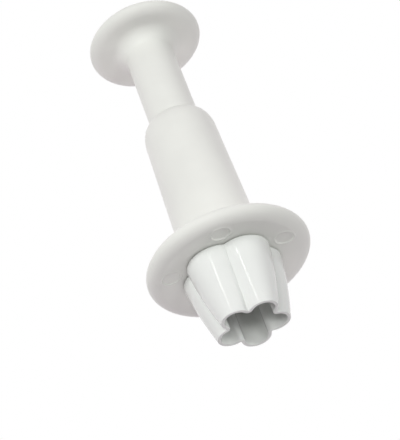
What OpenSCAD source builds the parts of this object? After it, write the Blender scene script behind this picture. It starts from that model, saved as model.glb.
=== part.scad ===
// Plunger cutter for a small five-petal blossom, pressed from sugar paste.
// It stands on its cutting edge: the origin is the middle of the mouth, +Z points to the thumb knob,
// and one petal points towards -Y. Every length is in millimetres.

/* [Blossom] */
// Distance from the middle of the blossom to the middle of each petal
petal_dist = 4.13; // [3.9:0.01:4.3]
// Radius of each petal of the opening
petal_r = 2.1; // [2:0.05:2.3]
// Wall at the cutting edge
edge_wall = 0.57; // [0.4:0.01:0.8]
// Wall of a petal half way up the cutter
mid_wall = 2.1; // [1.6:0.05:2.4]
// Wall of a petal where the cutter meets the flange
top_wall = 3; // [2.7:0.05:3.1]
// Radius that rounds each notch at the cutting edge
edge_notch = 0.3; // [0.1:0.05:0.5]
// Radius that rounds each notch where the cutter meets the flange
top_notch = 0.2; // [0.1:0.1:1.5]
// Radius that rounds each notch of the opening
mouth_notch = 0.8; // [0.5:0.05:0.9]
// Height of the cutter below the flange
cutter_h = 12.6; // [12:0.1:15]
// Height of the fine joint between the cutter's upper end and the flange
joint_gap = 0.2; // [0.1:0.05:0.3]
// Chamfer round the cutter's upper end
top_chamfer = 0.1; // [0.05:0.05:0.4]
// Thickness of the web that carries the rod and the spring
web_t = 1.4; // [1:0.1:2]

/* [Barrel] */
// Diameter of the flange
flange_d = 30; // [27:0.5:34]
// Thickness of the flange at its rounded edge
flange_t = 3.2; // [2.6:0.1:3.6]
// Radial width of the rounding round the flange
flange_round = 2.3; // [1.5:0.1:2.5]
// How far the flange's underside rises from its edge to the cutter
flange_dish = 0.3; // [0.1:0.05:0.5]
// Diameter of the barrel where it leaves the flange
barrel_low_d = 14.9; // [14:0.1:16]
// Diameter of the barrel under its shoulder
barrel_top_d = 13.75; // [13.2:0.05:14.5]
// Height of the barrel from the flange's underside to its top
barrel_h = 34.8; // [32:0.1:40]
// Height of the rounded shoulder
shoulder_h = 3.8; // [2:0.1:5]
// Width of the flat lip round the stem
lip_w = 0.1; // [0.05:0.05:0.4]
// Radius of the fillet between flange and barrel
root_fillet = 0.8; // [0.3:0.1:1.5]
// Bore of the barrel
bore_d = 11.2; // [11:0.1:11.6]
// Height of the narrow neck that guides the stem
neck_h = 5; // [4:0.1:7]
// Diameter of the five round marks under the flange
mark_d = 3.2; // [2.4:0.1:3.6]
// Distance from the axis to the middle of each mark
mark_dist = 10.9; // [10.8:0.1:11]
// Depth of each mark
mark_depth = 0.1; // [0.05:0.05:0.3]
// Width of the fine lip round each mark
mark_lip_w = 0.2; // [0.1:0.05:0.3]
// Height of the fine lip round each mark
mark_lip_h = 0.1; // [0.04:0.02:0.16]

/* [Spigot] */
// Height of the cutter's spigot inside the barrel
spigot_h = 7.4; // [5:0.1:9]
// Wall of the spigot
spigot_wall = 0.8; // [0.6:0.05:1]
// Height of the snap bead above the flange's underside
bead_z = 4.4; // [3:0.1:4.6]
// Width of the snap bead along the spigot
bead_w = 0.8; // [0.5:0.1:1.2]
// Rise of the snap bead above the spigot
bead_h = 0.15; // [0.1:0.05:0.3]

/* [Plunger] */
// Diameter of the stem
stem_d = 9.4; // [9.2:0.1:9.8]
// Wall of the hollow stem
stem_wall = 1.3; // [1:0.1:1.6]
// Diameter of the thumb knob
knob_d = 22.3; // [18:0.1:26]
// Height of the stem that shows between the barrel and the knob's underside
stem_show = 20.6; // [18:0.1:26]
// Thickness of the knob at its edge
knob_t = 2.9; // [2.2:0.1:3.4]
// Radial width of the rounding round the knob
knob_round = 2.3; // [1:0.1:3]
// Rise of the knob's domed top
knob_dome = 0.7; // [0.4:0.1:2]
// Radius of the flare between stem and knob
flare_r = 2.7; // [1.5:0.1:3.6]
// Thickness of the floor that closes the stem's bore under the knob's top
knob_floor = 3; // [2:0.1:5]
// Diameter of the rod
rod_d = 3.5; // [3:0.1:4]
// Diameter of the rod's tip in the pad
tip_d = 2.2; // [1.6:0.1:2.6]
// Thickness of the rod's collar, which carries the spring
collar_t = 1.2; // [1:0.1:2]
// Length of the plug that holds the rod in the stem
plug_h = 8; // [5:0.1:12]
// Chamfer at the plug's upper end
plug_chamfer = 0.4; // [0.2:0.1:0.8]
// Thickness of the ejector pad
pad_t = 2; // [1.8:0.1:2.6]
// Thickness of the pad under the rod's tip
pad_floor = 0.8; // [0.6:0.05:1.1]
// Diameter of the dimple in the middle of the pad
dimple_d = 1.6; // [1:0.1:2]
// Depth of the dimple
dimple_depth = 0.3; // [0.1:0.05:0.35]
// Height of the pad's face above the cutting edge at rest
retract = 9.5; // [8:0.1:9.6]
// How far the pad's face passes the cutting edge when pressed home
proud = 1; // [0:0.1:2]

/* [Spring] */
// Mean diameter of the spring
spring_d = 7.6; // [6.6:0.1:8.4]
// Diameter of the wire
wire_d = 0.6; // [0.4:0.05:0.7]
// Number of turns
turns = 8.5; // [6:0.5:9]
// Pitch of the closed turn at each end
end_pitch = 1.1; // [1.1:0.05:1.4]

/* [Clearances] */
// Running clearance round the stem, the collar and the rod
run_gap = 0.1; // [0.05:0.01:0.1]
// Clearance between the pad and the blossom bore
pad_gap = 0.2; // [0.15:0.05:0.3]
// Space left above the pad at rest
rest_gap = 0.2; // [0.1:0.05:0.4]
// Space left under the collar when pressed home
stop_gap = 0.3; // [0.1:0.05:0.6]
// Clearance of pieces that are pushed together
push_gap = 0.02; // [0.01:0.01:0.03]
// Space between the spring and each of its seats
seat_gap = 0.05; // [0.02:0.01:0.1]

/* [Hidden] */
petals = 5;
petal_step = 360 / petals;
first_petal = -90;
arc_steps = 10;
petal_arc = 6;
notch_arc = 3;
wire_sides = 6;
rings_per_turn = 24;
cut = 1;
past = 0.3;
seat_margin = 0.15;
plastic = [0.93, 0.93, 0.91];
gloss_plastic = [0.95, 0.96, 0.94];
steel = [0.72, 0.73, 0.75];
$fn = 96;

// How far from the axis two neighbouring petals of radius r cross
function notch_at(r) = petal_dist * cos(petal_step / 2)
    + sqrt(r * r - pow(petal_dist * sin(petal_step / 2), 2));

// Closed outline of petals of radius r, with an arc of radius n in each notch
function blossom(r, n) =
    let (out = notch_at(r + n),
        turn = atan2(out * sin(petal_step / 2), out * cos(petal_step / 2) - petal_dist),
        sweep = turn - petal_step / 2,
        petal = [for (i = [-petal_arc:petal_arc]) let (a = turn * i / petal_arc)
            [petal_dist + r * cos(a), r * sin(a)]],
        notch = [for (i = [notch_arc - 1:-1:1 - notch_arc])
            let (a = 180 + petal_step / 2 + sweep * i / notch_arc)
            [out * cos(petal_step / 2) + n * cos(a), out * sin(petal_step / 2) + n * sin(a)]])
    [for (k = [0:petals - 1], p = concat(petal, notch)) let (a = first_petal + petal_step * k)
        [p[0] * cos(a) - p[1] * sin(a), p[0] * sin(a) + p[1] * cos(a)]];

// Radii of the cutter's petals
edge_r = petal_r + edge_wall;
mid_r = petal_r + mid_wall;
top_r = petal_r + top_wall;

// Stroke, and the heights that follow from it
stroke = retract + proud;
pad_top_z = retract + pad_t;
web_z = pad_top_z + rest_gap;
web_top_z = web_z + web_t;
spigot_top_z = cutter_h + spigot_h;
flange_z = cutter_h - flange_dish;
collar_z = spigot_top_z + stroke + stop_gap;
stem_z = collar_z + collar_t;
barrel_top_z = cutter_h + barrel_h;
knob_z = barrel_top_z + stem_show;
knob_edge_z = knob_z + knob_t;

// Radii of the sliding and pushed fits
spigot_r = bore_d / 2 - push_gap;
chamber_r = spigot_r - spigot_wall;
neck_r = stem_d / 2 + run_gap;
plug_r = stem_d / 2 - stem_wall - push_gap;
collar_r = bore_d / 2 - run_gap;

// A quarter of an ellipse from a to b that leaves a along the radius
function round_out(a, b) = [for (i = [0:arc_steps])
    [a[0] + (b[0] - a[0]) * sin(90 * i / arc_steps), a[1] + (b[1] - a[1]) * (1 - cos(90 * i / arc_steps))]];
// A quarter of an ellipse from a to b that leaves a along the axis
function round_up(a, b) = [for (i = [0:arc_steps])
    [a[0] + (b[0] - a[0]) * (1 - cos(90 * i / arc_steps)), a[1] + (b[1] - a[1]) * sin(90 * i / arc_steps)]];

// Repeats its children at each petal, or at each notch with turn = petal_step / 2
module at_petals(turn = 0)
    for (k = [0:petals - 1])
        rotate([0, 0, first_petal + turn + petal_step * k])
            children();

// The cutter's solid outer body, lofted through blossoms and cut flat at both ends
module blossom_body() {
    high = cutter_h - joint_gap;
    slope = (mid_r - edge_r) / (cutter_h / 2);
    drop = top_chamfer + past;
    rings = [[-past, blossom(edge_r - slope * past, edge_notch)],
        [cutter_h / 2, blossom(mid_r, (edge_notch + top_notch) / 2)],
        [high - top_chamfer, blossom(top_r, top_notch)],
        [high + past, blossom(top_r - drop, top_notch + drop)]];
    n = len(rings[0][1]);
    last = len(rings) - 1;
    points = [for (ring = rings, p = ring[1]) [p[0], p[1], ring[0]]];
    sides = [for (i = [0:last - 1], k = [0:n - 1])
        let (a = i * n + k, b = i * n + (k + 1) % n)
        each [[a, a + n, b + n], [a, b + n, b]]];
    intersection() {
        polyhedron(points = points, faces = concat(sides, [[for (k = [0:n - 1]) k]],
            [[for (k = [n - 1:-1:0]) last * n + k]]));
        cylinder(h = high, r = petal_dist + top_r + cut);
    }
}

// The blossom of the opening, drawn in by a gap on all sides
module opening_prism(gap, h)
    linear_extrude(height = h)
        polygon(blossom(petal_r - gap, mouth_notch + gap));

// Tapered blossom sleeve with the web and the spigot that snaps into the barrel
module blossom_cutter() {
    color(gloss_plastic)
        difference() {
            union() {
                blossom_body();
                translate([0, 0, cutter_h / 2])
                    cylinder(h = spigot_top_z - cutter_h / 2, r = spigot_r);
                translate([0, 0, cutter_h + bead_z])
                    cylinder(h = bead_w, r = spigot_r + bead_h);
            }
            translate([0, 0, -cut])
                opening_prism(0, web_z + cut);
            cylinder(h = spigot_top_z, r = rod_d / 2 + run_gap);
            translate([0, 0, web_top_z])
                cylinder(h = spigot_top_z - web_top_z + cut, r = chamber_r);
        }
}

// Barrel and flange in one piece, with the neck that guides the stem
module barrel_housing() {
    seat_r = petal_dist + top_r + seat_margin;
    flat_r = flange_d / 2 - flange_round;
    rim_z = flange_z + flange_t / 2;
    top_z = flange_z + flange_t;
    tilt = atan(flange_dish / (flat_r - seat_r));
    mark_z = flange_z + (flat_r - mark_dist) * tan(tilt);
    bead_room = push_gap;
    neck_z = barrel_top_z - neck_h;
    color(plastic)
        difference() {
            union() {
                rotate_extrude()
                    polygon(concat(
                        [[bore_d / 2, cutter_h], [seat_r, cutter_h]],
                        round_out([flat_r, flange_z], [flange_d / 2, rim_z]),
                        round_up([flange_d / 2, rim_z], [flat_r, top_z]),
                        round_out([barrel_low_d / 2 + root_fillet, top_z],
                            [barrel_low_d / 2, top_z + root_fillet]),
                        round_up([barrel_top_d / 2, barrel_top_z - shoulder_h],
                            [neck_r + lip_w, barrel_top_z]),
                        [[neck_r, barrel_top_z], [neck_r, neck_z],
                            [bore_d / 2, neck_z - (bore_d / 2 - neck_r)]]));
                at_petals(petal_step / 2)
                    translate([mark_dist, 0, mark_z])
                        rotate([0, tilt, 0])
                            translate([0, 0, -mark_lip_h])
                                cylinder(h = flange_t / 2, d = mark_d + 2 * mark_lip_w);
            }
            at_petals(petal_step / 2)
                translate([mark_dist, 0, mark_z])
                    rotate([0, tilt, 0])
                        translate([0, 0, -cut])
                            cylinder(h = mark_depth + cut, d = mark_d);
            translate([0, 0, cutter_h + bead_z - bead_room])
                cylinder(h = bead_w + 2 * bead_room, r = bore_d / 2 + bead_h);
        }
}

// Middle line of the spring: one closed turn at each end, open turns between them
spring_low = web_top_z + seat_gap + wire_d / 2;
spring_high = collar_z - seat_gap - wire_d / 2;
open_pitch = (spring_high - spring_low - 2 * end_pitch) / (turns - 2);
function spring_z(t) = spring_low + (t < 1 ? end_pitch * t
    : t > turns - 1 ? end_pitch + open_pitch * (turns - 2) + end_pitch * (t - turns + 1)
    : end_pitch + open_pitch * (t - 1));
ring_count = round(turns * rings_per_turn);
spring_line = [for (i = [0:ring_count]) let (t = turns * i / ring_count)
    [spring_d / 2 * cos(360 * t), spring_d / 2 * sin(360 * t), spring_z(t)]];
// Least gap between turns, measured on points at least half a turn apart
spring_gap = min([for (i = [0:2:ring_count]) for (j = [i + rings_per_turn / 2:ring_count])
    norm(spring_line[i] - spring_line[j])]) - wire_d;
echo(str("Spring: least gap to itself ", spring_gap, " mm, open pitch ", open_pitch, " mm"));

// Compression spring round the rod, one unbroken wire
module return_spring() {
    points = [for (i = [0:ring_count]) for (k = [0:wire_sides - 1])
        let (t = 360 * turns * i / ring_count, a = 360 * k / wire_sides,
            r = spring_d / 2 + wire_d / 2 * cos(a))
        [r * cos(t), r * sin(t), spring_line[i][2] + wire_d / 2 * sin(a)]];
    sides = [for (i = [0:ring_count - 1]) for (k = [0:wire_sides - 1])
        let (a = i * wire_sides + k, b = i * wire_sides + (k + 1) % wire_sides)
        each [[a, b, b + wire_sides], [a, b + wire_sides, a + wire_sides]]];
    last = ring_count * wire_sides;
    ends = [for (k = [1:wire_sides - 2]) each [[0, k + 1, k], [last, last + k, last + k + 1]]];
    color(steel)
        polyhedron(points = points, faces = concat(sides, ends));
}

// Rod with its tip, the collar that the spring pushes and the plug in the stem
module plunger_rod() {
    tip_z = retract + pad_floor + push_gap;
    color(plastic)
        rotate_extrude()
            polygon([[0, tip_z], [tip_d / 2 - push_gap, tip_z], [tip_d / 2 - push_gap, pad_top_z],
                [rod_d / 2, pad_top_z], [rod_d / 2, collar_z], [collar_r, collar_z], [collar_r, stem_z],
                [plug_r, stem_z], [plug_r, stem_z + plug_h - plug_chamfer],
                [plug_r - plug_chamfer, stem_z + plug_h], [0, stem_z + plug_h]]);
}

// Blossom pad that pushes the paste out of the mouth
module ejector_pad() {
    color(gloss_plastic)
        translate([0, 0, retract])
            difference() {
                opening_prism(pad_gap, pad_t);
                translate([0, 0, pad_floor])
                    cylinder(h = pad_t, d = tip_d);
                translate([0, 0, -cut])
                    cylinder(h = dimple_depth + cut, d = dimple_d);
            }
}

// Mushroom knob and its hollow stem in one piece
module thumb_knob() {
    top_z = knob_edge_z + knob_dome;
    rim_z = knob_z + knob_t / 2;
    bore_r = stem_d / 2 - stem_wall;
    dome = [for (i = [1:arc_steps]) let (f = 1 - i / arc_steps)
        [(knob_d / 2 - knob_round) * f, knob_edge_z + knob_dome * (1 - f * f)]];
    color(plastic)
        rotate_extrude()
            polygon(concat(
                [[bore_r, stem_z], [stem_d / 2, stem_z]],
                round_up([stem_d / 2, knob_z - flare_r], [stem_d / 2 + flare_r, knob_z]),
                round_out([knob_d / 2 - knob_round, knob_z], [knob_d / 2, rim_z]),
                round_up([knob_d / 2, rim_z], [knob_d / 2 - knob_round, knob_edge_z]),
                dome,
                [[0, top_z - knob_dome - knob_floor], [bore_r, top_z - knob_dome - knob_floor]]));
}

blossom_cutter();
barrel_housing();
return_spring();
plunger_rod();
ejector_pad();
thumb_knob();
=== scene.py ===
"""Looks of a plunger cutter for small five-petal blossoms, built round its packed CAD frame.

Every length is in metres. The cutter stands on its cutting edge: the origin is the middle of its mouth,
+Z points to the thumb knob and one petal points towards -Y.
"""

import math

import bpy
import numpy as np
from mathutils import Matrix, Vector


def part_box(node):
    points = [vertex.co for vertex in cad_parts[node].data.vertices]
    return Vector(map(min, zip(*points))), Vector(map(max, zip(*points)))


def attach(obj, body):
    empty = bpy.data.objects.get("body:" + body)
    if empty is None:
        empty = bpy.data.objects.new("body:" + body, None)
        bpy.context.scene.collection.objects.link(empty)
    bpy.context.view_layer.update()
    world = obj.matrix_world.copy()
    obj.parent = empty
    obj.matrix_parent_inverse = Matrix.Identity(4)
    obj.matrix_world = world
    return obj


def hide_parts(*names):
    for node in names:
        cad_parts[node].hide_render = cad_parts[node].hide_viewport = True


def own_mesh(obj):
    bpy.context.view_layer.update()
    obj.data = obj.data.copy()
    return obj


bl_info = {
    "name": "Blossom plunger cutter",
    "version": (1, 0, 0),
    "blender": (4, 5, 0),
    "location": "3D Viewport > Sidebar > Plunger cutter",
    "description": "Makes the pieces of a blossom plunger cutter and a plain studio round them",
    "category": "Object",
}

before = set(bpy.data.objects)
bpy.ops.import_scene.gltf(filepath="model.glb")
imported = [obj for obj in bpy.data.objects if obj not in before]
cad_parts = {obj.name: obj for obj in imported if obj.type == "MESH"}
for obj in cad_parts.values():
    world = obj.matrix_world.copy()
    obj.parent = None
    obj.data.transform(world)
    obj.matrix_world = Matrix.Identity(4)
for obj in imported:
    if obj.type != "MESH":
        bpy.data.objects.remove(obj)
BOX = {name: [np.array(corner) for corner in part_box(name)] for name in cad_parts}
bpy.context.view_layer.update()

MM = 0.001
MICRON = 1e-6
PETALS = 5
PETAL_STEP = 2 * math.pi / PETALS
FIRST_PETAL = -math.pi / 2
FIRST_NOTCH = FIRST_PETAL + PETAL_STEP / 2
CAMERA_PLACE = Vector((122.168, -179.949, -134.331)) * MM
CAMERA_RIGHT = Vector((0.649920, 0.704422, -0.285294))
CAMERA_UP = Vector((0.604987, -0.252321, 0.755198))
CAMERA_BACK = CAMERA_RIGHT.cross(CAMERA_UP)
CAMERA_LENS = 122.9
CAMERA_SENSOR = 36.0
CAMERA_CLIP = 0.01, 20.0

# Soft lamps: degrees right of the camera, degrees above it, distance and width
LAMP_TURNS = {"far_left": -50, "near_left": -20, "middle": -5, "near_right": 25, "far_right": 70}
LAMP_LIFT = 15
LAMP_DISTANCE = 0.5
LAMP_WIDTH = 0.14
LAMP_TARGET = Vector((0, 0, 0.03))
STRIP_AIM = -30, 36
STRIP_WIDTH = 0.02
STRIP_LENGTH = 0.2

# Corners of a profile that turn less than this stay as they are
SOFT_TURN = math.radians(25)
# Corners of a profile with a side shorter than this are left out
SAME_POINT = 1e-9
# A rounding takes up this share of the shorter side at most
SIDE_SHARE = 0.45
# Edges sharper than this are shaded as edges
SHARP_EDGE = math.radians(40)
# Roundings of the small corners
OPEN_CORNER = 0.1 * MM
BORE_CORNER = 0.05 * MM
SPIGOT_CORNER = 0.08 * MM
STEM_CORNER = 0.15 * MM
PAD_EDGE = 0.1 * MM
# Small lengths of the hidden pieces
PUSH_GAP = 0.02 * MM
PAD_FLOOR = 0.8 * MM
PLUG_CHAMFER = 0.4 * MM
# The round marks: soft step, distance of the lip's middle from the mark's edge, fine rows round a mark
MARK_STEP = 0.25 * MM
MARK_LIP_OUT = 0.2 * MM
MARK_ROWS_IN = 2.1 * MM
MARK_ROWS_OUT = 2.3 * MM
SEAT_FLAT = 1.5 * MM
# The spring: closed turns at each end, turns over which it opens, and the wire's grid
CLOSED_TURNS = 0.75
OPENING_TURNS = 0.5
RINGS_PER_TURN = 72
WIRE_SIDES = 14
CAP_WIDTH = 0.72
# Rows and columns of the other grids
SLEEVE_ROWS = 44
BORE_ROWS = 12
MARK_ROWS = 45
RIM_ROWS = 16
DOME_ROWS = 24
PAD_HALF_PETAL = 30
ROD_COLUMNS = 96
KNOB_COLUMNS = 240


# ---------------------------------------------------------------- sizes and colours


def length(name, description, millimetres):
    """A length property with its default given in millimetres."""
    return bpy.props.FloatProperty(
        name=name, description=description, default=millimetres * MM, min=0, precision=5,
        subtype="DISTANCE", unit="LENGTH")


def share(name, description, value, top=1.0):
    """A plain number between nought and top."""
    return bpy.props.FloatProperty(
        name=name, description=description, default=value, min=0, max=top, subtype="FACTOR")


def colour(name, description, value):
    """A colour property."""
    return bpy.props.FloatVectorProperty(
        name=name, description=description, default=value, size=3, min=0, max=1, subtype="COLOR")


def watts(name, description, value):
    """The power of a lamp."""
    return bpy.props.FloatProperty(
        name=name, description=description, default=value, min=0, precision=3, unit="POWER")


class BlossomSizes(bpy.types.PropertyGroup):
    """Sizes of the blossom sleeve and of the pad that slides in it."""

    petal_dist: length("Petal distance", "From the axis to the middle of each petal", 4.13)
    petal_r: length("Petal radius", "Radius of each petal of the opening", 2.1)
    edge_wall: length("Wall at the edge", "Wall of the sleeve at the cutting edge", 0.57)
    mid_wall: length("Wall half way up", "Wall of a petal half way up the sleeve", 2.1)
    top_wall: length("Wall at the flange", "Wall of a petal under the flange", 3.0)
    edge_notch: length("Notch at the edge", "Radius in each outer notch at the edge", 0.3)
    top_notch: length("Notch at the flange", "Radius in each outer notch under the flange", 0.2)
    mouth_notch: length("Notch of the mouth", "Radius in each notch of the opening", 0.8)
    edge_round: length("Edge rounding", "Rounding of both corners of the cutting edge", 0.1)
    top_round: length("Top rounding", "Rounding of the sleeve's upper end", 0.1)
    height: length("Height", "Height of the flange's seat above the cutting edge", 12.6)
    joint: length("Joint", "Dark gap between the sleeve and the flange", 0.2)
    web: length("Web", "Thickness of the web that carries the rod and the spring", 1.4)
    hole_r: length("Rod hole", "Radius of the hole that guides the rod", 1.85)
    spigot_r: length("Spigot radius", "Outer radius of the spigot in the barrel", 5.58)
    spigot_wall: length("Spigot wall", "Wall of the spigot", 0.8)
    spigot_top: length("Spigot top", "Height of the spigot's upper end",
                       float(BOX["blossom_cutter"][1][2]) / MM)
    bead_low: length("Bead", "Height of the snap bead's lower side", 17.0)
    bead_wide: length("Bead width", "Width of the snap bead", 0.8)
    bead_rise: length("Bead rise", "Rise of the snap bead", 0.15)
    bead_spare: length("Bead clearance", "Clearance between the snap bead and its groove", 0.02)
    pad_gap: length("Pad clearance", "Clearance between the pad and the opening", 0.2)
    rest_gap: length("Rest gap", "Space left above the pad at rest", 0.2)
    dimple_r: length("Dimple radius", "Radius of the dimple in the pad's face", 0.8)
    dimple_deep: length("Dimple depth", "Depth of the dimple", 0.3)


class BarrelSizes(bpy.types.PropertyGroup):
    """Sizes of the barrel with its flange."""

    flange_r: length("Flange radius", "Outer radius of the flange",
                     float(BOX["barrel_housing"][1][0]) / MM)
    flange_t: length("Flange thickness", "Thickness of the flange", 3.2)
    dish: length("Dish", "Rise of the flange's underside towards the sleeve", 0.3)
    seat_r: length("Seat radius", "Radius of the flat seat round the sleeve", 9.38)
    flange_round: length("Flange rounding", "Radial width of the rounding round the flange", 2.3)
    low_r: length("Lower radius", "Radius of the barrel over the flange", 7.45)
    top_r: length("Upper radius", "Radius of the barrel under its shoulder", 6.875)
    top: length("Top", "Height of the barrel's upper end", float(BOX["barrel_housing"][1][2]) / MM)
    shoulder: length("Shoulder", "Height of the rounded shoulder", 3.8)
    root: length("Root fillet", "Fillet between flange and barrel", 0.8)
    lip: length("Lip", "Width of the flat lip round the stem", 0.1)
    bore_r: length("Bore radius", "Radius of the barrel's bore", 5.6)
    neck: length("Neck", "Height of the neck that guides the stem", 5.0)
    neck_r: length("Neck radius", "Radius of the hole that guides the stem", 4.8)
    mark_r: length("Mark radius", "Radius of the round marks under the flange", 1.6)
    mark_dist: length("Mark distance", "From the axis to the middle of each mark", 10.9)
    mark_deep: length("Mark depth", "Depth of each mark", 0.1)
    mark_lip: length("Mark lip", "Height of the fine lip round each mark", 0.1)


class PlungerSizes(bpy.types.PropertyGroup):
    """Sizes of the stem, the thumb knob and the rod."""

    stem_r: length("Stem radius", "Outer radius of the stem", 4.7)
    stem_wall: length("Stem wall", "Wall of the hollow stem", 1.3)
    knob_r: length("Knob radius", "Outer radius of the thumb knob",
                   float(BOX["thumb_knob"][1][0]) / MM)
    knob_low: length("Knob underside", "Height of the knob's underside", 68.0)
    knob_t: length("Knob thickness", "Thickness of the knob at its edge", 2.9)
    knob_round: length("Knob rounding", "Radial width of the rounding round the knob", 2.3)
    dome: length("Dome", "Rise of the knob's domed top", 0.7)
    flare: length("Flare", "Radius of the flare between stem and knob", 2.7)
    floor: length("Knob floor", "Thickness of the floor over the stem's bore", 3.0)
    rod_r: length("Rod radius", "Radius of the rod", 1.75)
    tip_r: length("Tip radius", "Radius of the rod's tip in the pad", 1.08)
    collar_r: length("Collar radius", "Radius of the collar on the spring", 5.5)
    collar_t: length("Collar thickness", "Thickness of the collar", 1.2)
    plug: length("Plug", "Length of the plug in the stem", 8.0)


class SpringSizes(bpy.types.PropertyGroup):
    """Sizes of the return spring."""

    mean_r: length("Mean radius", "Mean radius of the spring", 3.8)
    wire_r: length("Wire radius", "Radius of the wire", 0.3)
    end_pitch: length("End pitch", "Pitch of the closed turn at each end", 1.1)
    seat_gap: length("Seat gap", "Gap between each end of the spring and its seat", 0.05)
    stroke: length("Stroke", "How far the plunger pushes the spring together", 10.5)
    turns: bpy.props.FloatProperty(
        name="Turns", description="Number of turns", default=8.5, min=3, max=20)


class Finishes(bpy.types.PropertyGroup):
    """Colours and gloss of the plastics and the steel."""

    housing: colour("Housing colour", "Satin plastic of the barrel and the plunger", (0.785, 0.80, 0.755))
    cutter: colour("Cutter colour", "Glossy plastic of the sleeve and the pad", (0.785, 0.81, 0.78))
    steel: colour("Steel colour", "Spring wire", (0.56, 0.57, 0.58))
    housing_rough: share("Housing roughness", "Roughness of the satin plastic", 0.42)
    cutter_rough: share("Cutter roughness", "Roughness of the glossy plastic", 0.14)
    steel_rough: share("Steel roughness", "Roughness of the wire", 0.3)


class StageSizes(bpy.types.PropertyGroup):
    """Floor, lamps and surroundings."""

    floor_width: length("Floor width", "Width of the floor", 900.0)
    floor_near: length("Floor fade", "Distance from the axis at which the floor begins to fade", 100.0)
    floor_far: length("Floor end", "Distance from the axis at which the floor has faded out", 400.0)
    floor_colour: colour("Floor colour", "Colour of the floor", (0.83, 0.89, 0.85))
    far_left: watts("Far left", "Soft lamp well left of the camera", 1.05)
    near_left: watts("Near left", "Soft lamp left of the camera", 0.34)
    middle: watts("Middle", "Soft lamp over the camera", 0.46)
    near_right: watts("Near right", "Soft lamp right of the camera", 0.335)
    far_right: watts("Far right", "Soft lamp well right of the camera", 0.61)
    strip: watts("Strip", "Narrow lamp that draws the highlights", 0.17)
    below: share("Light from below", "Soft light from below the picture", 0.84, 4.0)
    above: share("Light from above", "Soft light from above the picture", 0.47, 4.0)
    behind: share("Light from behind", "Soft light from behind the cutter", 2.6, 4.0)
    tint: colour("Tint", "Colour of the soft light from all round", (1.0, 0.91, 0.97))


GROUPS = {
    "blossom_sizes": BlossomSizes,
    "barrel_sizes": BarrelSizes,
    "plunger_sizes": PlungerSizes,
    "spring_sizes": SpringSizes,
    "cutter_finishes": Finishes,
    "cutter_stage": StageSizes,
}


# ---------------------------------------------------------------- shapes


def skin(name, points, closed):
    """Makes an object from a grid of points in rows and columns.

    The columns close on themselves. The rows do so too where closed is set; otherwise the first and the
    last row shrink to one point each, and fans of triangles close them. The faces are turned outwards by
    the sign of the volume, the sum of each triangle's triple product over six.
    """
    rows, columns = points.shape[:2]
    flat = points.reshape(-1, 3)
    index = np.arange(rows * columns).reshape(rows, columns)
    if not closed:
        index[0] = index[0, 0]
        index[-1] = index[-1, 0]
    low = index if closed else index[:-1]
    high = np.roll(index, -1, 0) if closed else index[1:]
    quads = np.stack([low, np.roll(low, -1, 1), np.roll(high, -1, 1), high], -1).reshape(-1, 4)
    a, b, c, d = (flat[quads[:, k]] for k in range(4))
    volume = (np.einsum("ij,ij->", a, np.cross(b, c)) + np.einsum("ij,ij->", a, np.cross(c, d))) / 6
    if volume < 0:
        quads = quads[:, ::-1]
    used, quads = np.unique(quads, return_inverse=True)
    quads = quads.reshape(-1, 4)
    same = np.roll(quads, -1, 1) == quads
    whole = quads[~same.any(1)]
    fans = quads[same.any(1)]
    fans = fans[~same[same.any(1)]].reshape(-1, 3)
    mesh = bpy.data.meshes.new(name)
    mesh.from_pydata(flat[used].tolist(), [], whole.tolist() + fans.tolist())
    if mesh.validate():
        raise RuntimeError(f"{name}: the grid gave broken faces")
    mesh.shade_smooth()
    mesh.set_sharp_from_angle(angle=SHARP_EDGE)
    piece = bpy.data.objects.new(name, mesh)
    bpy.context.scene.collection.objects.link(piece)
    return piece


def quarter(a, b, out_first, steps=14):
    """A quarter of an ellipse from a to b, both (radius, height).

    With out_first it leaves a along the radius: the radius follows the sine of the quarter turn and the
    height one minus its cosine. Otherwise the two change places.
    """
    turn = np.linspace(0, math.pi / 2, steps)
    fast, slow = np.sin(turn), 1 - np.cos(turn)
    radius, height = (fast, slow) if out_first else (slow, fast)
    return np.stack([a[0] + (b[0] - a[0]) * radius, a[1] + (b[1] - a[1]) * height], 1)


def soften(line, width, steps=5):
    """Rounds the hard corners of a profile with short parabolas.

    A corner that turns by more than the soft turn is left at width before it, or at a share of the
    shorter side where that is less, and the curve runs to the same distance after it with the corner
    as its control point: (1-t)^2 start + 2t(1-t) corner + t^2 end.
    """
    line = np.asarray(line, float)
    t = np.linspace(0, 1, steps)[:, None]
    made = [line[:1]]
    for i, corner in enumerate(line[1:-1], start=1):
        before, after = line[i - 1] - corner, line[i + 1] - corner
        sides = np.linalg.norm(before), np.linalg.norm(after)
        if min(sides) < SAME_POINT:
            continue
        turn = math.acos(max(-1.0, min(1.0, float(-before @ after) / (sides[0] * sides[1]))))
        if turn < SOFT_TURN:
            made.append(corner[None])
            continue
        reach = min(width, SIDE_SHARE * min(sides))
        start, end = corner + before / sides[0] * reach, corner + after / sides[1] * reach
        made.append((1 - t) ** 2 * start + 2 * t * (1 - t) * corner + t ** 2 * end)
    return np.vstack(made + [line[-1:]])


def turned(profile, angles):
    """The grid of a profile of (radius, height) turned round the axis: (r cos a, r sin a, z)."""
    radius, height = profile[:, :1], profile[:, 1:]
    return np.stack([radius * np.cos(angles), radius * np.sin(angles),
                     np.broadcast_to(height, (len(profile), len(angles)))], -1)


def even_angles(count):
    """Evenly spaced angles of one turn."""
    return np.linspace(0, 2 * math.pi, count, endpoint=False)


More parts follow.
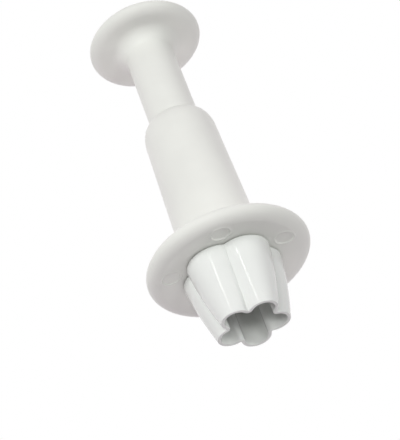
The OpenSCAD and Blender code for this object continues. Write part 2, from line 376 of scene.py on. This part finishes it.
def blossom_angles(half=36, crowd=0.7):
    """Angles of one turn that crowd together at the notches.

    In each half petal the angle from the petal's middle is half the petal's step times
    (1 + crowd) s - crowd s^2, with s running evenly from 0 to 1.
    """
    s = np.arange(half) / half
    away = PETAL_STEP / 2 * ((1 + crowd) * s - crowd * s ** 2)
    one = np.concatenate([away, PETAL_STEP - (PETAL_STEP / 2 * ((1 + crowd) * (s + 1 / half)
                                                               - crowd * (s + 1 / half) ** 2))[::-1]])
    starts = FIRST_PETAL + PETAL_STEP * np.arange(PETALS)
    return (starts[:, None] + one).reshape(-1)


def blossom_radius(angles, dist, petal, notch):
    """Distance of a blossom's outline from the axis, for rows of petal and notch radii.

    On a petal it is d cos a + sqrt(p^2 - d^2 sin^2 a), a being the angle from the petal's middle, d the
    petal's distance and p its radius. In a notch it is o cos b - sqrt(n^2 - o^2 sin^2 b), b being the
    angle from the notch's middle, n its radius and o the distance of its centre, at which the notch's
    circle touches both petals. The notch begins at the angle of the point of contact.
    """
    fold = (angles - FIRST_PETAL + PETAL_STEP / 2) % PETAL_STEP - PETAL_STEP / 2
    a = np.abs(fold)[None, :]
    b = PETAL_STEP / 2 - a
    p, n = np.atleast_1d(petal)[:, None], np.atleast_1d(notch)[:, None]
    half = PETAL_STEP / 2
    out = dist * math.cos(half) + np.sqrt((p + n) ** 2 - (dist * math.sin(half)) ** 2)
    touch_x = dist + p * (out * math.cos(half) - dist) / (p + n)
    touch_y = p * out * math.sin(half) / (p + n)
    on_petal = dist * np.cos(a) + np.sqrt(np.maximum(p ** 2 - (dist * np.sin(a)) ** 2, 0))
    in_notch = out * np.cos(b) - np.sqrt(np.maximum(n ** 2 - (out * np.sin(b)) ** 2, 0))
    return np.where(a < np.arctan2(touch_y, touch_x), on_petal, in_notch)


def blossom_rows(angles, dist, petal, notch, height):
    """Rows of blossom outlines at their heights, as a grid of points."""
    radius = blossom_radius(angles, dist, petal, notch)
    height = np.broadcast_to(np.atleast_1d(height)[:, None], radius.shape)
    return np.stack([radius * np.cos(angles), radius * np.sin(angles), height], -1)


def sleeve_points(s):
    """The blossom sleeve: a loft of outlines that closes on itself through the mouth.

    The petal radius grows with the height z as r0 + r1 z + r2 z^2, through the wall at the edge, half
    way up and at the flange, and the notch radius grows evenly. Both ends of the wall are rounded by
    quarter circles. Above it the rows are circles: the spigot with its bead, the chamber, the web and
    the rod's hole. Back down the straight bore they are blossoms again.
    """
    angles = blossom_angles()
    high = s.height - s.joint
    top = high - s.top_round
    curve = np.polyfit([0, s.height / 2, top], [s.edge_wall, s.mid_wall, s.top_wall], 2)
    z = np.linspace(s.edge_round, top, SLEEVE_ROWS)
    petal = s.petal_r + np.polyval(curve, z)
    notch = s.edge_notch + (s.top_notch - s.edge_notch) * z / top
    turn = np.linspace(0, math.pi / 2, num=6)
    slack = s.edge_round * (1 - np.sin(turn))
    lift = s.edge_round * (1 - np.cos(turn))
    crown = np.linspace(0, math.pi / 2, num=9)[1:]
    drop = s.top_round * (1 - np.cos(crown))
    rise = s.top_round * np.sin(crown)
    web_low = float(BOX["ejector_pad"][1][2]) + s.rest_gap
    upper = soften([
        (s.spigot_r, high), (s.spigot_r, s.bead_low), (s.spigot_r + s.bead_rise, s.bead_low),
        (s.spigot_r + s.bead_rise, s.bead_low + s.bead_wide), (s.spigot_r, s.bead_low + s.bead_wide),
        (s.spigot_r, s.spigot_top), (s.spigot_r - s.spigot_wall, s.spigot_top),
        (s.spigot_r - s.spigot_wall, web_low + s.web), (s.hole_r, web_low + s.web), (s.hole_r, web_low),
    ], SPIGOT_CORNER)
    bore = np.linspace(web_low, s.edge_round, BORE_ROWS)
    return np.concatenate([
        blossom_rows(angles, s.petal_dist, petal[0] - slack, notch[0] + slack, lift),
        blossom_rows(angles, s.petal_dist, petal[1:], notch[1:], z[1:]),
        blossom_rows(angles, s.petal_dist, petal[-1] - drop, notch[-1] + drop, top + rise),
        turned(upper, angles),
        blossom_rows(angles, s.petal_dist, np.full(BORE_ROWS, s.petal_r),
                     np.full(BORE_ROWS, s.mouth_notch), bore),
        blossom_rows(angles, s.petal_dist, s.petal_r + slack[::-1][1:], s.mouth_notch - slack[::-1][1:],
                     lift[::-1][1:]),
    ])


def pad_points(s, rod):
    """The ejector pad: a blossom plate between two flat faces, with a dimple and the tip's hole."""
    angles = blossom_angles(PAD_HALF_PETAL)
    low, high = float(BOX["ejector_pad"][0][2]), float(BOX["ejector_pad"][1][2])
    petal, notch = s.petal_r - s.pad_gap, s.mouth_notch + s.pad_gap
    turn = np.linspace(0, math.pi / 2, num=5)
    slack = PAD_EDGE * (1 - np.sin(turn))
    lift = PAD_EDGE * (1 - np.cos(turn))
    inner = 2 * s.dimple_r
    socket_r = rod.tip_r + PUSH_GAP
    dimple = soften([(0, low + s.dimple_deep), (s.dimple_r, low + s.dimple_deep), (s.dimple_r, low),
                     (inner, low)], OPEN_CORNER)
    socket = soften([(inner, high), (socket_r, high), (socket_r, low + PAD_FLOOR), (0, low + PAD_FLOOR)],
                    BORE_CORNER)
    return np.concatenate([
        turned(dimple, angles),
        blossom_rows(angles, s.petal_dist, petal - slack, notch + slack, low + lift),
        blossom_rows(angles, s.petal_dist, petal - slack[::-1], notch + slack[::-1], high - lift[::-1]),
        turned(socket, angles),
    ])


def barrel_angles(fine=41, coarse=26, reach=math.radians(10)):
    """Angles of one turn that crowd together over the width of each round mark."""
    near = np.linspace(-reach, reach, fine)
    far = np.linspace(reach, PETAL_STEP - reach, coarse + 2)[1:-1]
    starts = FIRST_NOTCH + PETAL_STEP * np.arange(PETALS)
    return (starts[:, None] + np.concatenate([near, far])).reshape(-1)


def barrel_points(b, s):
    """Barrel and flange: a profile turned round the axis, with round marks sunk into the underside.

    A mark sinks the face by its depth within its radius, eased over the mark's step by half a cosine,
    and a fine lip round it stands proud by its height times a cosine bell.
    """
    z0 = s.height
    low = z0 - b.dish
    rim = low + b.flange_t / 2
    neck_r = b.neck_r
    bead = s.bead_low - s.bead_spare, s.bead_low + s.bead_wide + s.bead_spare
    neck_low = b.top - b.neck
    flat_end = b.flange_r - b.flange_round
    marked = np.linspace(b.mark_dist - MARK_ROWS_IN, b.mark_dist + MARK_ROWS_OUT, MARK_ROWS)
    swing = np.clip((marked - flat_end) / b.flange_round, 0, 1)
    risen = np.clip((flat_end - marked) / (flat_end - b.seat_r), 0, 1)
    marked_z = low + b.dish * risen + b.flange_t / 2 * (1 - np.sqrt(1 - swing ** 2))
    turn = np.linspace(math.asin(swing[-1]), math.pi / 2, RIM_ROWS)[1:]
    profile = np.vstack([
        soften([(b.bore_r, bead[0]), (b.bore_r, z0), (b.seat_r - SEAT_FLAT, z0)], OPEN_CORNER),
        np.stack([marked, marked_z], 1),
        np.stack([flat_end + b.flange_round * np.sin(turn), rim - b.flange_t / 2 * np.cos(turn)], 1),
        quarter((b.flange_r, rim), (flat_end, low + b.flange_t), False, steps=18)[1:],
        quarter((b.low_r + b.root, low + b.flange_t), (b.low_r, low + b.flange_t + b.root), True),
        quarter((b.top_r, b.top - b.shoulder), (neck_r + b.lip, b.top), False, steps=22),
        soften([(neck_r + b.lip, b.top), (neck_r, b.top), (neck_r, neck_low),
                (b.bore_r, neck_low - (b.bore_r - neck_r)),
                (b.bore_r, bead[1]), (b.bore_r + s.bead_rise, bead[1]),
                (b.bore_r + s.bead_rise, bead[0]), (b.bore_r, bead[0])], BORE_CORNER)[1:-1],
    ])
    angles = barrel_angles()
    points = turned(profile, angles)
    fold = (angles - FIRST_NOTCH + PETAL_STEP / 2) % PETAL_STEP - PETAL_STEP / 2
    away = np.hypot(profile[:, :1] * np.cos(fold) - b.mark_dist, profile[:, :1] * np.sin(fold))
    sunk = 0.5 - 0.5 * np.cos(math.pi * np.clip((b.mark_r - away) / MARK_STEP + 0.5, 0, 1))
    bell = np.clip(np.abs(away - b.mark_r - MARK_LIP_OUT) / MARK_STEP, 0, 1)
    proud = 0.5 + 0.5 * np.cos(math.pi * bell)
    under = (profile[:, 1:] < rim - MICRON) & (profile[:, :1] > b.bore_r)
    points[..., 2] += np.where(under, b.mark_deep * sunk - b.mark_lip * proud, 0)
    return points


def knob_profile(p):
    """Half section of the hollow stem and the thumb knob, from the bore's end to the dome's top.

    The dome's height over the knob's edge is its rise times one minus the square of the radius' share.
    """
    low = float(BOX["thumb_knob"][0][2])
    edge_top = p.knob_low + p.knob_t
    rim = p.knob_low + p.knob_t / 2
    bore_r = p.stem_r - p.stem_wall
    flat_end = p.knob_r - p.knob_round
    part = np.linspace(1, 0, DOME_ROWS)
    start = soften([(0, edge_top - p.floor), (bore_r, edge_top - p.floor), (bore_r, low),
                    (p.stem_r, low), (p.stem_r, low + p.stem_wall)], STEM_CORNER)
    return np.vstack([
        start,
        quarter((p.stem_r, p.knob_low - p.flare), (p.stem_r + p.flare, p.knob_low), False, steps=20),
        quarter((flat_end, p.knob_low), (p.knob_r, rim), True, steps=18),
        quarter((p.knob_r, rim), (flat_end, edge_top), False, steps=18)[1:],
        np.stack([flat_end * part, edge_top + p.dome * (1 - part ** 2)], 1)[1:],
    ])


def rod_profile(p):
    """Half section of the rod from its tip in the pad to the end of its plug in the stem."""
    tip = float(BOX["plunger_rod"][0][2])
    high = float(BOX["plunger_rod"][1][2])
    pad_top = float(BOX["ejector_pad"][1][2])
    collar_top = high - p.plug
    plug_r = p.stem_r - p.stem_wall - PUSH_GAP
    return soften([
        (0, tip), (p.tip_r, tip), (p.tip_r, pad_top), (p.rod_r, pad_top),
        (p.rod_r, collar_top - p.collar_t), (p.collar_r, collar_top - p.collar_t),
        (p.collar_r, collar_top), (plug_r, collar_top), (plug_r, high - PLUG_CHAMFER),
        (plug_r - PLUG_CHAMFER, high), (0, high)], OPEN_CORNER)


def spring_points(w):
    """The spring: a circle of wire carried along a helix whose pitch is small at both ends.

    The height along the helix is the running sum of the pitch, which changes from the end pitch to the
    open pitch over the opening turns by half a cosine. The first and last rings shrink to points.
    """
    low = float(BOX["return_spring"][0][2]) + w.wire_r
    high = float(BOX["return_spring"][1][2]) - w.wire_r
    t = np.linspace(0, w.turns, int(w.turns * RINGS_PER_TURN) + 1)
    near_end = np.minimum(t, w.turns - t)
    opened = 0.5 - 0.5 * np.cos(math.pi * np.clip((near_end - CLOSED_TURNS) / OPENING_TURNS, 0, 1))
    step = np.diff(t, prepend=0)
    closed_part, open_part = np.cumsum(step * (1 - opened)), np.cumsum(step * opened)
    open_pitch = (high - low - w.end_pitch * closed_part[-1]) / open_part[-1]
    height = low + w.end_pitch * closed_part + open_pitch * open_part
    swell = np.concatenate([[0.0, CAP_WIDTH], np.ones(len(t) - 4), [CAP_WIDTH, 0.0]])
    round_wire = even_angles(WIRE_SIDES)
    radius = w.mean_r + w.wire_r * swell[:, None] * np.cos(round_wire)
    turn = 2 * math.pi * t[:, None]
    z = height[:, None] + w.wire_r * swell[:, None] * np.sin(round_wire)
    return np.stack([radius * np.cos(turn), radius * np.sin(turn), z], -1)


# ---------------------------------------------------------------- finishes


class Value:
    """A shader socket that takes part in plain arithmetic; each operator adds one Math node."""

    def __init__(self, nodes, socket):
        self.nodes = nodes
        self.socket = socket

    def _with(self, operation, first, second):
        return self.nodes.add("ShaderNodeMath", {"operation": operation}, {0: first, 1: second})

    def __add__(self, other):
        return self._with("ADD", self, other)

    __radd__ = __add__

    def __sub__(self, other):
        return self._with("SUBTRACT", self, other)

    def __rsub__(self, other):
        return self._with("SUBTRACT", other, self)

    def __mul__(self, other):
        return self._with("MULTIPLY", self, other)

    __rmul__ = __mul__


class Nodes:
    """Adds nodes to a material's or the world's tree."""

    def __init__(self, owner):
        owner.use_nodes = True
        self.tree = owner.node_tree
        self.tree.nodes.clear()

    def add(self, kind, settings=None, sockets=None, out=0):
        """Adds a node of that kind, sets it up, then gives its sockets their values or links."""
        node = self.tree.nodes.new(kind)
        for key, value in (settings or {}).items():
            setattr(node, key, value)
        for key, value in (sockets or {}).items():
            if isinstance(value, Value):
                self.tree.links.new(value.socket, node.inputs[key])
            else:
                node.inputs[key].default_value = value
        return Value(self, node.outputs[out])

    def noise(self, where, scale, detail=2.0, rough=0.5):
        """Noise between nought and one whose lumps are about 1 / scale metres wide."""
        return self.add("ShaderNodeTexNoise", {}, {
            "Vector": where, "Scale": scale, "Detail": detail, "Roughness": rough})

    def steps(self, value, low, high):
        """Nought below low, one above high and a smooth rise between them."""
        return self.add("ShaderNodeMapRange", {"interpolation_type": "SMOOTHSTEP"}, {
            "Value": value, "From Min": low, "From Max": high})

    def blend(self, factor, first, second):
        """A mix of two colours."""
        return self.add("ShaderNodeMix", {"data_type": "RGBA"}, {0: factor, 6: first, 7: second}, out=2)

    def end(self, surface, kind="ShaderNodeOutputMaterial"):
        """Links the finished shader to the tree's output."""
        output = self.tree.nodes.new(kind)
        self.tree.links.new(surface.socket, output.inputs[0])


def shade(rgb, times):
    """A colour made lighter or darker, with its alpha."""
    return tuple(min(1.0, c * times) for c in rgb) + (1.0,)


def plastic(name, rgb, rough, grain_depth):
    """Moulded plastic: faint clouds in its colour, a fine skin of grain and a few long light rubs."""
    material = bpy.data.materials.get(name) or bpy.data.materials.new(name)
    n = Nodes(material)
    where = n.add("ShaderNodeTexCoord", out=3)
    clouds = n.noise(where, scale=90, detail=3.0)
    grain = n.noise(where, scale=2600, detail=3.0, rough=0.6)
    dents = n.noise(where, scale=700)
    along = n.add("ShaderNodeMapping", {}, {"Vector": where, "Scale": (1.0, 1.0, 0.06)})
    rubs = n.steps(n.noise(along, scale=1500), low=0.62, high=0.74)
    worn = rubs * n.steps(n.noise(where, scale=160), low=0.45, high=0.7)
    cloudy = n.steps(clouds, low=0.3, high=0.7)
    base = n.blend(cloudy, shade(rgb, times=0.975), shade(rgb, times=1.02))
    base = n.blend(0.35 * worn, base, shade(rgb, times=0.93))
    roughness = rough + 0.1 * (grain - 0.5) + 0.06 * (clouds - 0.5) + 0.1 * worn
    height = grain + 0.35 * dents - 0.5 * worn
    bump = n.add("ShaderNodeBump", {}, {"Strength": 0.35, "Distance": grain_depth, "Height": height})
    n.end(n.add("ShaderNodeBsdfPrincipled", {}, {
        "Base Color": base, "Roughness": roughness, "Normal": bump, "IOR": 1.46}))
    return material


def steel(name, rgb, rough):
    """Drawn spring wire: bright metal with fine lengthwise grain and slight staining."""
    material = bpy.data.materials.get(name) or bpy.data.materials.new(name)
    n = Nodes(material)
    where = n.add("ShaderNodeTexCoord", out=3)
    flat = n.add("ShaderNodeMapping", {}, {"Vector": where, "Scale": (1.0, 1.0, 9.0)})
    grain = n.noise(flat, scale=1800, detail=3.0)
    stain = n.steps(n.noise(where, scale=300), low=0.4, high=0.7)
    base = n.blend(0.5 * stain, shade(rgb, times=1.05), shade(rgb, times=0.82))
    roughness = rough + 0.18 * (grain - 0.5) + 0.1 * stain
    bump = n.add("ShaderNodeBump", {}, {"Strength": 0.3, "Distance": 0.01 * MM, "Height": grain})
    n.end(n.add("ShaderNodeBsdfPrincipled", {}, {
        "Base Color": base, "Roughness": roughness, "Metallic": 1.0, "Normal": bump}))
    return material


def housing_plastic(finishes):
    """The satin plastic of the barrel, the knob and the rod."""
    return plastic("Satin plastic", finishes.housing, finishes.housing_rough, grain_depth=0.02 * MM)


def cutter_plastic(finishes):
    """The glossy plastic of the sleeve and the pad."""
    return plastic("Glossy plastic", finishes.cutter, finishes.cutter_rough, grain_depth=0.012 * MM)


def place(piece, material, body, node):
    """Gives a finished piece its material and its body, and hides the CAD node that it stands for."""
    piece.data.materials.append(material)
    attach(piece, body)
    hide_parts(node)
    return piece


# ---------------------------------------------------------------- operators


class MakeBlossomSleeve(bpy.types.Operator):
    """Makes the tapered blossom sleeve that cuts the paste"""

    bl_idname = "plunger_cutter.blossom_sleeve"
    bl_label = "Blossom sleeve"

    def execute(self, context):
        scene = context.scene
        piece = skin("blossom_sleeve", sleeve_points(scene.blossom_sizes), True)
        place(piece, cutter_plastic(scene.cutter_finishes), "housing", "blossom_cutter")
        return {"FINISHED"}


class MakeBarrel(bpy.types.Operator):
    """Makes the barrel with its flange and the round marks under it"""

    bl_idname = "plunger_cutter.barrel"
    bl_label = "Barrel and flange"

    def execute(self, context):
        scene = context.scene
        points = barrel_points(scene.barrel_sizes, scene.blossom_sizes)
        place(skin("barrel", points, True), housing_plastic(scene.cutter_finishes),
              "housing", "barrel_housing")
        return {"FINISHED"}


class MakeSpring(bpy.types.Operator):
    """Makes the return spring, which is squashed as the plunger goes down"""

    bl_idname = "plunger_cutter.spring"
    bl_label = "Return spring"

    def execute(self, context):
        scene = context.scene
        finishes = scene.cutter_finishes
        piece = skin("spring", spring_points(scene.spring_sizes), False)
        place(piece, steel("Spring steel", finishes.steel, finishes.steel_rough),
              "housing", "return_spring")
        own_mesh(piece)
        return {"FINISHED"}


class MakeRod(bpy.types.Operator):
    """Makes the rod that joins the pad to the stem"""

    bl_idname = "plunger_cutter.rod"
    bl_label = "Rod"

    def execute(self, context):
        scene = context.scene
        points = turned(rod_profile(scene.plunger_sizes), even_angles(ROD_COLUMNS))
        place(skin("rod", points, False), housing_plastic(scene.cutter_finishes),
              "plunger", "plunger_rod")
        return {"FINISHED"}


class MakePad(bpy.types.Operator):
    """Makes the ejector pad inside the sleeve"""

    bl_idname = "plunger_cutter.pad"
    bl_label = "Ejector pad"

    def execute(self, context):
        scene = context.scene
        points = pad_points(scene.blossom_sizes, scene.plunger_sizes)
        place(skin("pad", points, False), cutter_plastic(scene.cutter_finishes),
              "plunger", "ejector_pad")
        return {"FINISHED"}


class MakeKnob(bpy.types.Operator):
    """Makes the thumb knob with its hollow stem"""

    bl_idname = "plunger_cutter.knob"
    bl_label = "Thumb knob and stem"

    def execute(self, context):
        scene = context.scene
        points = turned(knob_profile(scene.plunger_sizes), even_angles(KNOB_COLUMNS))
        place(skin("knob", points, False), housing_plastic(scene.cutter_finishes),
              "plunger", "thumb_knob")
        return {"FINISHED"}


class MakeStage(bpy.types.Operator):
    """Makes the floor, the soft lamps, the surroundings and the camera"""

    bl_idname = "plunger_cutter.stage"
    bl_label = "Studio"

    def execute(self, context):
        scene = context.scene
        stage = scene.cutter_stage
        scene.view_settings.view_transform = "Standard"
        self.floor(scene, stage)
        for name, turn in LAMP_TURNS.items():
            lamp = self.lamp(scene, name, (turn, LAMP_LIFT), LAMP_WIDTH, getattr(stage, name))
            lamp.visible_glossy = False
        strip = self.lamp(scene, "strip", STRIP_AIM, STRIP_WIDTH, stage.strip)
        strip.data.shape, strip.data.size_y = "RECTANGLE", STRIP_LENGTH
        self.surroundings(scene, stage)
        self.camera(scene)
        return {"FINISHED"}

    def floor(self, scene, stage):
        """A pale floor that shows from above only, fades out into the white with its distance from the
        axis and lets the light of the surroundings through."""
        half = stage.floor_width / 2
        mesh = bpy.data.meshes.new("floor")
        mesh.from_pydata([(-half, -half, 0), (half, -half, 0), (half, half, 0), (-half, half, 0)],
                         [], [(0, 1, 2, 3)])
        floor = bpy.data.objects.new("floor", mesh)
        scene.collection.objects.link(floor)
        material = bpy.data.materials.new("Pale floor")
        n = Nodes(material)
        where = n.add("ShaderNodeTexCoord", out=3)
        tone = stage.floor_colour
        base = n.blend(n.noise(where, scale=3), shade(tone, times=0.99), shade(tone, times=1.01))
        board = n.add("ShaderNodeBsdfPrincipled", {}, {"Base Color": base, "Roughness": 0.8})
        under = n.add("ShaderNodeNewGeometry", out=6)
        away = n.add("ShaderNodeVectorMath", {"operation": "LENGTH"}, {0: where}, out=1)
        gone = n.add("ShaderNodeMath", {"operation": "MAXIMUM"},
                     {0: under, 1: n.steps(away, stage.floor_near, stage.floor_far)})
        clear = n.add("ShaderNodeBsdfTransparent")
        n.end(n.add("ShaderNodeMixShader", {}, {0: gone, 1: board, 2: clear}))
        mesh.materials.append(material)
        floor.visible_diffuse = False
        floor.visible_glossy = False
        floor.visible_transmission = False
        floor.visible_shadow = False

    def lamp(self, scene, name, aim, size, power):
        """A soft disc of light, aimed by its degrees right of and above the camera."""
        turn, lift = (math.radians(angle) for angle in aim)
        direction = (CAMERA_RIGHT * math.sin(turn) * math.cos(lift) + CAMERA_UP * math.sin(lift)
                     + CAMERA_BACK * math.cos(turn) * math.cos(lift))
        light = bpy.data.lights.new(name, "AREA")
        light.shape, light.size, light.energy = "DISK", size, power
        lamp = bpy.data.objects.new(name, light)
        lamp.location = LAMP_TARGET + direction * LAMP_DISTANCE
        lamp.rotation_mode = "QUATERNION"
        lamp.rotation_quaternion = direction.to_track_quat("Z", "Y")
        scene.collection.objects.link(lamp)
        return lamp

    def surroundings(self, scene, stage):
        """White where the camera and reflections look; for everything else three soft lights, each the
        square of the cosine of the angle from its direction."""
        world = bpy.data.worlds.new("studio")
        scene.world = world
        n = Nodes(world)
        where = n.add("ShaderNodeTexCoord", out=0)
        glow = 0.0
        for direction, strength in ((-CAMERA_UP, stage.below), (CAMERA_UP, stage.above),
                                    (-CAMERA_BACK, stage.behind)):
            facing = n.add("ShaderNodeVectorMath", {"operation": "DOT_PRODUCT"},
                           {0: where, 1: tuple(direction)}, out=1)
            ahead = n.add("ShaderNodeMath", {"operation": "MAXIMUM"}, {0: facing, 1: 0.0})
            glow = glow + ahead * ahead * strength
        path = self.seen(n)
        soft = n.add("ShaderNodeBackground", {}, {
            "Color": shade(stage.tint, times=1.0), "Strength": glow})
        white = n.add("ShaderNodeBackground", {}, {"Color": (1, 1, 1, 1), "Strength": 1.0})
        n.end(n.add("ShaderNodeMixShader", {}, {0: path, 1: soft, 2: white}), "ShaderNodeOutputWorld")

    def seen(self, n):
        """One for camera, glossy and transmission rays, nought for all others."""
        rays = [n.add("ShaderNodeLightPath", out=name)
                for name in ("Is Camera Ray", "Is Glossy Ray", "Is Transmission Ray")]
        return n.add("ShaderNodeClamp", {}, {"Value": rays[0] + rays[1] + rays[2]})

    def camera(self, scene):
        """The camera, placed from the picture's perspective: it looks up at the mouth from below."""
        turn = Matrix((CAMERA_RIGHT, CAMERA_UP, CAMERA_BACK)).transposed().to_4x4()
        view = bpy.data.cameras.new("camera")
        view.lens, view.sensor_width, view.sensor_fit = CAMERA_LENS, CAMERA_SENSOR, "AUTO"
        view.clip_start, view.clip_end = CAMERA_CLIP
        camera = bpy.data.objects.new("camera", view)
        camera.matrix_world = Matrix.Translation(CAMERA_PLACE) @ turn
        scene.collection.objects.link(camera)
        scene.camera = camera


class PlungerCutterPanel(bpy.types.Panel):
    """Lists the pieces of the cutter and their sizes"""

    bl_idname = "VIEW3D_PT_plunger_cutter"
    bl_label = "Plunger cutter"
    bl_space_type = "VIEW_3D"
    bl_region_type = "UI"
    bl_category = "Plunger cutter"

    def draw(self, context):
        for operator in OPERATORS:
            self.layout.operator(operator.bl_idname)
        for name, group in GROUPS.items():
            box = self.layout.box()
            box.label(text=group.__doc__)
            for key in group.__annotations__:
                box.prop(getattr(context.scene, name), key)


OPERATORS = (MakeBlossomSleeve, MakeBarrel, MakeSpring, MakeRod, MakePad, MakeKnob, MakeStage)


def register():
    """Registers the classes and hangs the size groups on the scene."""
    for group in GROUPS.values():
        bpy.utils.register_class(group)
    for name, group in GROUPS.items():
        setattr(bpy.types.Scene, name, bpy.props.PointerProperty(type=group))
    for operator in OPERATORS:
        bpy.utils.register_class(operator)
    bpy.utils.register_class(PlungerCutterPanel)


def unregister():
    """Takes the classes and the size groups away again."""
    bpy.utils.unregister_class(PlungerCutterPanel)
    for operator in reversed(OPERATORS):
        bpy.utils.unregister_class(operator)
    for name in GROUPS:
        delattr(bpy.types.Scene, name)
    for group in reversed(GROUPS.values()):
        bpy.utils.unregister_class(group)


def main():
    """Makes every piece and the studio."""
    register()
    bpy.ops.plunger_cutter.blossom_sleeve()
    bpy.ops.plunger_cutter.barrel()
    bpy.ops.plunger_cutter.spring()
    bpy.ops.plunger_cutter.rod()
    bpy.ops.plunger_cutter.pad()
    bpy.ops.plunger_cutter.knob()
    bpy.ops.plunger_cutter.stage()


if __name__ == "__main__":
    main()
